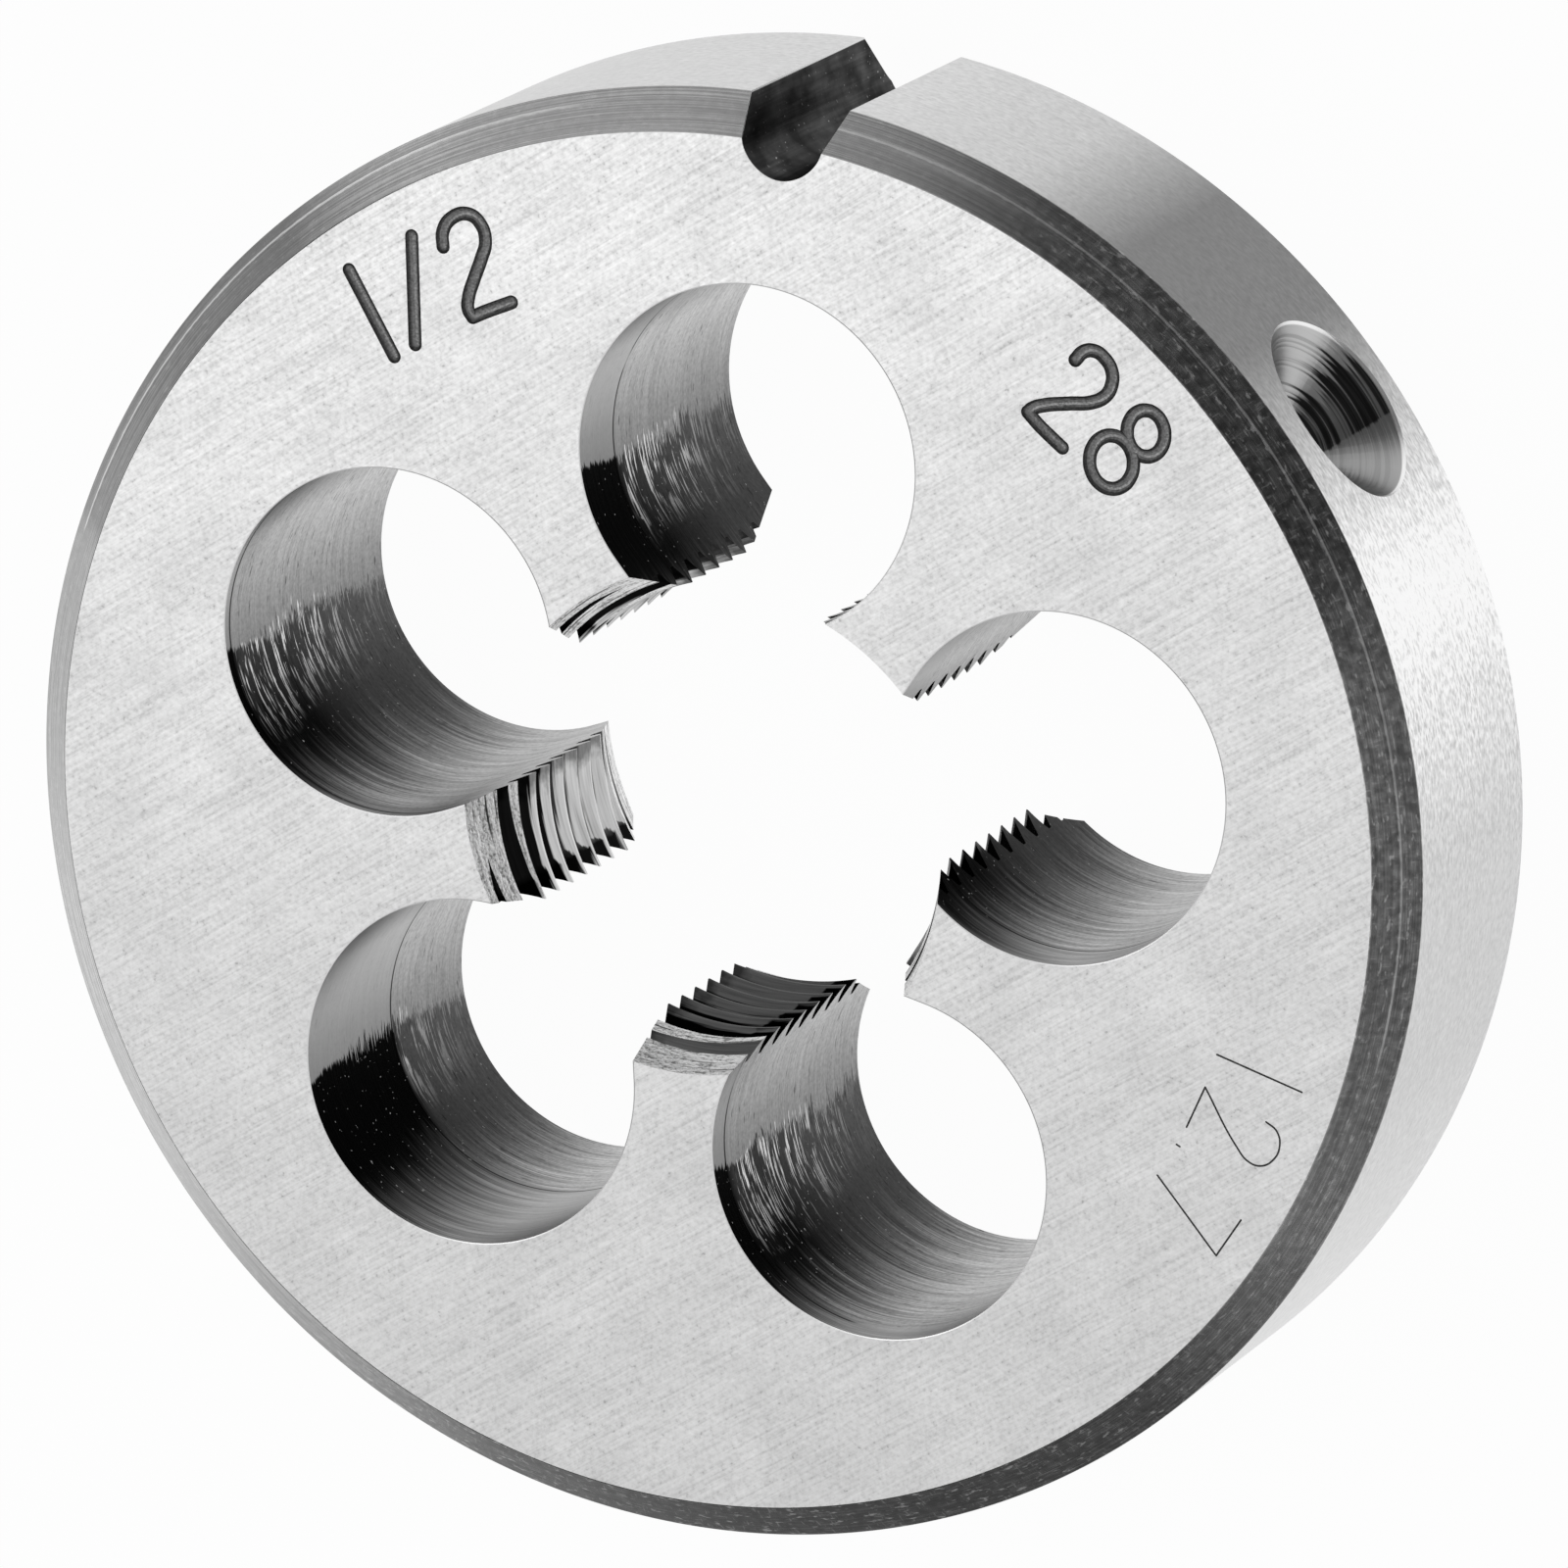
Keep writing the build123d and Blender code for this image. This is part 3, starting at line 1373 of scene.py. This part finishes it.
@dataclass
class Figure:
    """One figure cut into the marked face, with its top towards the rim."""

    name: str
    direction: float
    radius: float
    strokes: list[Stroke]
    width: float
    depth: float
    finish: Finish
    roundness: int = 8
    ball_segments: int = 24

    @property
    def tool(self) -> float:
        """Radius of the round tool that leaves this width at this depth."""
        return (self.width**2 / 4 + self.depth**2) / (2 * self.depth)

    def place(self, point: Point) -> Vector:
        """Where a point of a figure lies on the marked face.

        Args:
            point: Distance across, clockwise round the die, and distance outwards.

        Returns:
            The point in metres, at the depth of the tool's centre.
        """
        turn = math.radians(self.direction)
        outwards = Vector((math.cos(turn), math.sin(turn), 0))
        across = Vector((math.sin(turn), -math.cos(turn), 0))
        flat = outwards * (self.radius + point[1]) + across * point[0]
        return Vector((flat.x, flat.y, MARKED_FACE + self.tool - self.depth)) * MM

    def bit(self, stroke: Stroke) -> list[Object]:
        """Shapes that one stroke takes out: a bar along it and a ball at each end.

        Args:
            stroke: The stroke.

        Returns:
            The shapes.
        """
        places = [self.place(point) for point in stroke.points]
        bpy.ops.curve.primitive_bezier_curve_add(location=(0, 0, 0))
        bar = named(self.name + "_stroke")
        spline = bar.data.splines[0]
        spline.bezier_points.add(len(places) - 2)
        spline.use_cyclic_u = stroke.closed
        kind = "AUTO" if stroke.smooth else "VECTOR"
        for knot, place in zip(spline.bezier_points, places):
            knot.co = place
            knot.handle_left_type = knot.handle_right_type = kind
        bar.data.bevel_depth = self.tool * MM
        bar.data.bevel_resolution = self.roundness
        bar.data.resolution_u = self.roundness if stroke.smooth else 1
        bar.data.use_fill_caps = True
        active_only(bar)
        bpy.ops.object.convert(target="MESH")
        close_up(bar)
        shapes = [bar]
        for place in () if stroke.closed else (places[0], places[-1]):
            bpy.ops.mesh.primitive_uv_sphere_add(
                segments=self.ball_segments,
                ring_count=self.ball_segments // 2,
                radius=self.tool * MM,
                location=place,
            )
            shapes.append(settle(named(self.name + "_ball")))
        for shape in shapes:
            shape.data.materials.clear()
            dress(shape, self.finish)
        return shapes

    def cut(self, die: Object) -> None:
        """Engrave every stroke.

        Args:
            die: The die.
        """
        for stroke in self.strokes:
            for shape in self.bit(stroke):
                cut_out(die, shape)


def curved(*points: Point) -> Stroke:
    """Smooth open stroke through some points."""
    return Stroke(points)


def straight(*points: Point) -> Stroke:
    """Straight stroke."""
    return Stroke(points, smooth=False)


def loop(u: float, v: float, short: float, long: float, tilt: float = -45.0) -> Stroke:
    """Closed oval stroke.

    Args:
        u: Its centre across.
        v: Its centre outwards.
        short: Its half width across its long axis.
        long: Its half length.
        tilt: Which way its long axis lies, in degrees.

    Returns:
        The stroke.
    """
    cosine, sine = math.cos(math.radians(tilt)), math.sin(math.radians(tilt))
    turns = [math.radians(turn) for turn in range(0, 360, 30)]
    oval = [(long * math.cos(turn), short * math.sin(turn)) for turn in turns]
    points = [(u + x * cosine - y * sine, v + x * sine + y * cosine) for x, y in oval]
    return Stroke(points, closed=True)


def size_numbers() -> list[Figure]:
    """Nominal size and threads per inch, and the size in millimetres etched thinly.

    Returns:
        The figures, each with its direction and its distance from the thread axis.
    """
    half = [
        straight((-1.67, -1.30), (-1.67, 1.18)),
        straight((-0.98, -1.28), (0.35, 1.19)),
        curved(
            (1.00, 0.58), (1.19, 0.92), (1.59, 1.12), (2.06, 1.01), (2.24, 0.63),
            (2.12, 0.17), (1.82, -0.13), (1.35, -0.52), (0.98, -0.86), (0.81, -1.13),
            (0.82, -1.33),
        ),
        curved((0.82, -1.35), (1.20, -1.38), (1.99, -1.48)),
    ]
    two = [
        curved(
            (-0.44, 0.79), (-0.41, 1.11), (-0.22, 1.32), (0.10, 1.37), (0.46, 1.24),
            (0.67, 0.97), (0.73, 0.66), (0.58, 0.28), (0.14, -0.19), (-0.29, -0.66),
            (-0.48, -0.96), (-0.51, -1.12),
        ),
        curved((-0.51, -1.12), (-0.08, -1.17), (0.39, -1.18), (0.73, -1.18)),
    ]
    eight = [loop(0.0, 0.59, 0.50, 0.59), loop(-0.04, -0.63, 0.585, 0.68)]
    etched_one = [straight((0.0, -1.2), (0.0, 1.2))]
    etched_two = [
        curved(
            (-0.6, 0.6), (-0.52, 0.95), (-0.2, 1.18), (0.2, 1.18), (0.52, 0.95),
            (0.58, 0.6), (0.4, 0.2), (-0.6, -1.2),
        ),
        straight((-0.6, -1.2), (0.6, -1.2)),
    ]
    dot = [straight((0.0, -1.2), (0.0, -1.1))]
    seven = [straight((-0.6, 1.2), (0.6, 1.2)), straight((0.6, 1.2), (-0.15, -1.2))]
    bold = {"width": 0.37, "depth": 0.15, "finish": EngravedGroove()}
    thin = {"width": 0.05, "depth": 0.025, "finish": EtchedLine()}
    return [
        Figure("size_half", 126.54, 15.6, half, **bold),
        Figure("size_two", 57.54, 15.6, two, **bold),
        Figure("size_eight", 50.12, 15.8, eight, **bold),
        Figure("etched_one", -11.5, 15.85, etched_one, **thin),
        Figure("etched_two", -17.5, 15.85, etched_two, **thin),
        Figure("etched_dot", -22.0, 15.85, dot, **thin),
        Figure("etched_seven", -26.5, 15.85, seven, **thin),
    ]


@dataclass
class Die:
    """The finished die."""

    body: str = "root"
    node: str = "die_body"
    slot: str = "tool_steel"
    smooth_below: float = 18.0

    def build(self) -> Object:
        """Cut the die from its blank and put it in the place of the plain model.

        Returns:
            The die.
        """
        die = DieBlank().build()
        report(die)
        cuts = (ChipHoles(), Thread(), AdjustingNotch(), ScrewSeats(), *size_numbers())
        for part in cuts:
            part.cut(die)
            log.info("%s: %d faces", type(part).__name__, len(die.data.polygons))
        active_only(die)
        bpy.ops.object.shade_smooth_by_angle(angle=math.radians(self.smooth_below))
        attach(die, self.body)
        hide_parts(self.node)
        return die


# ---------------------------------------------------------------- studio


@dataclass
class Studio:
    """Plain white floor, a small soft lamp, a pale room and the camera.

    Azimuths are in degrees from +X, anticlockwise from above. The shines say how white
    the floor is in the metal, by distance in millimetres. The tones of the room go by
    the cosine of the angle from their direction, or by the sine of the elevation.
    """

    floor_size: float = 6.0
    floor_grey: float = 0.85
    shadow_share: float = 0.035
    shine_near: Curve = ((37, 1.0), (48, 0.12))
    shine_left: Curve = ((-55, 1.0), (-30, 0.12))
    lamp_azimuth: float = 175.0
    lamp_elevation: float = 64.0
    lamp_distance: float = 0.27
    lamp_size: float = 0.14
    lamp_power: float = 0.075
    ceiling_azimuth: float = 300.0
    ceiling_elevation: float = 62.0
    ceiling_tone: Curve = (
        (0.0, 0.10), (0.5, 0.14), (0.76, 0.6), (1.0, 0.8),
    )
    wall_azimuth: float = 150.0
    wall_tone: Curve = ((0.42, 0.0), (0.54, 0.42))
    wall_top: Curve = ((0.3, 1.0), (0.5, 0.0))
    cove_tone: Curve = ((0.47, 0.0), (0.56, 0.55))
    target: tuple[float, float, float] = (1.98742, 1.58394, 10.0)
    camera_distance: float = 337.470
    camera_azimuth: float = 40.339
    camera_elevation: float = 63.978
    camera_roll: float = -120.904
    lens: float = 305.23
    sensor_width: float = 36.0

    def build_floor(self) -> None:
        """Lay the floor: white to the eye and in the metal, with the die's shadow."""
        bpy.ops.mesh.primitive_plane_add(size=self.floor_size)
        floor = named("floor")
        graph = Graph("white_floor")
        reach = graph.add("ShaderNodeVectorMath", operation="LENGTH")
        graph.feed(reach.inputs[0], graph.place)
        distance = Number(graph, reach.outputs["Value"])
        shine = graph.most(
            distance.ramp(*self.shine_near, unit=MM),
            graph.axes()[0].ramp(*self.shine_left, unit=MM),
        )
        rays = graph.add("ShaderNodeLightPath").outputs
        mirrored = Number(graph, rays["Is Glossy Ray"]) * shine
        seen = graph.most(rays["Is Camera Ray"], mirrored, rays["Is Transmission Ray"])
        matt = graph.add("ShaderNodeBsdfDiffuse")
        matt.inputs["Color"].default_value = (*(self.floor_grey,) * 3, 1)
        glow = graph.add("ShaderNodeEmission")
        blend = graph.add("ShaderNodeMixShader")
        graph.feed(blend.inputs[0], seen * (1 - self.shadow_share))
        graph.feed(blend.inputs[1], matt.outputs[0])
        graph.feed(blend.inputs[2], glow.outputs[0])
        graph.close("ShaderNodeOutputMaterial", blend)
        floor.data.materials.append(graph.material)

    def build_world(self) -> None:
        """Light the room: pale above, dim round the horizon, with one pale wall."""
        world = bpy.data.worlds.new("room")
        world.use_nodes = True
        bpy.context.scene.world = world
        graph = Graph("room")
        graph.tree = world.node_tree
        graph.tree.nodes.clear()
        graph.place = graph.add("ShaderNodeTexCoord").outputs["Generated"]
        height = graph.axes()[2]
        wall = self.towards(graph, self.wall_azimuth, 0).ramp(*self.wall_tone)
        above = self.towards(graph, self.ceiling_azimuth, self.ceiling_elevation)
        light = graph.add("ShaderNodeBackground")
        light.inputs["Color"].default_value = (1, 1, 1, 1)
        strength = graph.most(
            above.ramp(*self.ceiling_tone),
            wall * height.ramp(*self.wall_top),
            height.ramp(*self.cove_tone),
        )
        graph.feed(light.inputs["Strength"], strength)
        graph.close("ShaderNodeOutputWorld", light)

    def towards(self, graph: Graph, azimuth: float, elevation: float) -> Number:
        """Cosine of the angle between what is seen and a direction.

        Args:
            graph: The world's graph.
            azimuth: Degrees from +X, anticlockwise from above.
            elevation: Degrees above the floor.

        Returns:
            The cosine.
        """
        node = graph.add("ShaderNodeVectorMath", operation="DOT_PRODUCT")
        graph.feed(node.inputs[0], graph.place)
        node.inputs[1].default_value = self.direction(azimuth, elevation)
        return Number(graph, node.outputs["Value"])

    def direction(self, azimuth: float, elevation: float) -> Vector:
        """Unit vector towards a place in the room.

        Args:
            azimuth: Degrees from +X, anticlockwise from above.
            elevation: Degrees above the floor.

        Returns:
            The vector.
        """
        turn, rise = math.radians(azimuth), math.radians(elevation)
        flat = math.cos(rise)
        return Vector((math.cos(turn) * flat, math.sin(turn) * flat, math.sin(rise)))

    def build_lamp(self) -> None:
        """Hang the soft lamp."""
        towards = self.direction(self.lamp_azimuth, self.lamp_elevation)
        bpy.ops.object.light_add(type="AREA", location=towards * self.lamp_distance)
        lamp = named("soft_lamp")
        lamp.data.shape = "DISK"
        lamp.data.size = self.lamp_size
        lamp.data.energy = self.lamp_power
        lamp.rotation_euler = towards.to_track_quat("Z", "Y").to_euler()

    def build_camera(self) -> None:
        """Set up the camera."""
        back = self.direction(self.camera_azimuth, self.camera_elevation)
        place = Vector(self.target) + back * self.camera_distance
        bpy.ops.object.camera_add(location=place * MM)
        camera = named("camera")
        roll = Matrix.Rotation(math.radians(self.camera_roll), 3, "Z")
        turn = back.to_track_quat("Z", "Y").to_matrix() @ roll
        camera.rotation_euler = turn.to_euler()
        camera.data.sensor_width = self.sensor_width
        camera.data.lens = self.lens
        bpy.context.scene.camera = camera

    def build(self) -> None:
        """Set up the room, the lamp and the camera."""
        self.build_floor()
        self.build_world()
        self.build_lamp()
        self.build_camera()
        bpy.context.scene.view_settings.view_transform = "Standard"


def report(piece: Object) -> None:
    """Log a piece's size.

    Args:
        piece: The piece.
    """
    size = " x ".join(f"{side / MM:.2f}" for side in piece.dimensions)
    log.info("%s: %s mm, %d faces", piece.name, size, len(piece.data.polygons))


def main() -> None:
    """Build the die and the studio, and report the die."""
    logging.basicConfig(level=logging.INFO, format="%(name)s %(message)s")
    report(Die().build())
    Studio().build()


if __name__ == "__main__":
    main()
